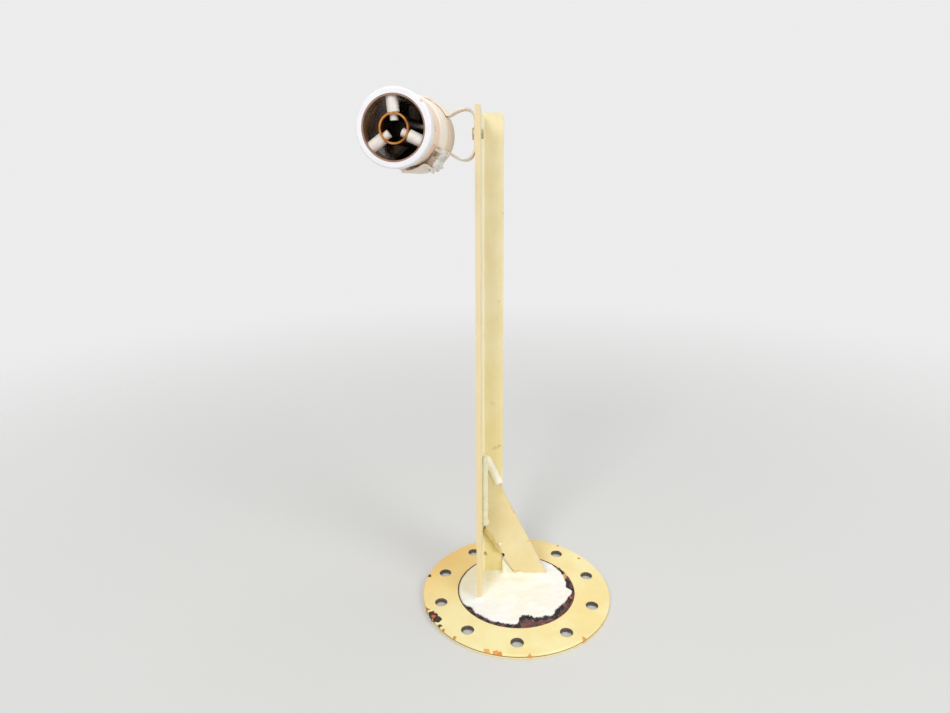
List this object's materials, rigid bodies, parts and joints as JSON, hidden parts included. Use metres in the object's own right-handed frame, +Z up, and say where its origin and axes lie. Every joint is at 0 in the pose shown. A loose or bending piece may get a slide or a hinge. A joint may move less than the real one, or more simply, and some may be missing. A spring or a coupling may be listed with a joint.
{
  "type": "aircraft fuel quantity probe",
  "caption": "Short capacitance fuel quantity probe strapped to a raked angle post on a round bolted flange, with sealant runs at the foot.",
  "frame": {"origin": "centre of the bolt circle on the flange's lower face", "axes": "+Z up from the flange towards the probe, -Y towards the probe's open mouth, +X to the right of the post"},
  "size_m": [0.1135, 0.0952, 0.2426],
  "materials": {
    "flange_primer": "satin",
    "post_primer": "satin",
    "bond_sealant": "matte",
    "white_sealant": "matte",
    "olive_sealant": "matte",
    "sleeve_coat": "gloss",
    "strap_coat": "satin",
    "bronze": "worn",
    "copper": "worn",
    "pin_nylon": "gloss",
    "cap_plastic": "matte",
    "steel": "satin"
  },
  "bodies": {
    "root": {"base_plate": "flange_primer", "mounting_ring": "flange_primer", "bond_seal": "bond_sealant", "seal_coat": "white_sealant", "angle_post": "post_primer", "gusset_plate": "post_primer", "gusset_top_bead": "white_sealant", "gusset_corner_bead": "white_sealant", "gusset_edge_bead": "olive_sealant", "foot_wedge": "white_sealant", "sleeve": "sleeve_coat", "outer_electrode": "bronze", "inner_electrode": "copper", "rear_cap": "cap_plastic", "front_pin_1": "pin_nylon", "front_pin_2": "pin_nylon", "front_pin_3": "pin_nylon", "rear_pin_1": "pin_nylon", "rear_pin_2": "pin_nylon", "rear_pin_3": "pin_nylon", "terminal_stud_1": "steel", "terminal_stud_2": "steel", "terminal_nut_1": "steel", "terminal_nut_2": "steel", "clamp_strap": "strap_coat", "clamp_screw": "steel", "clamp_nut": "steel", "clamp_spacer": "steel", "strap_rivet": "steel"}
  },
  "joints": []
}
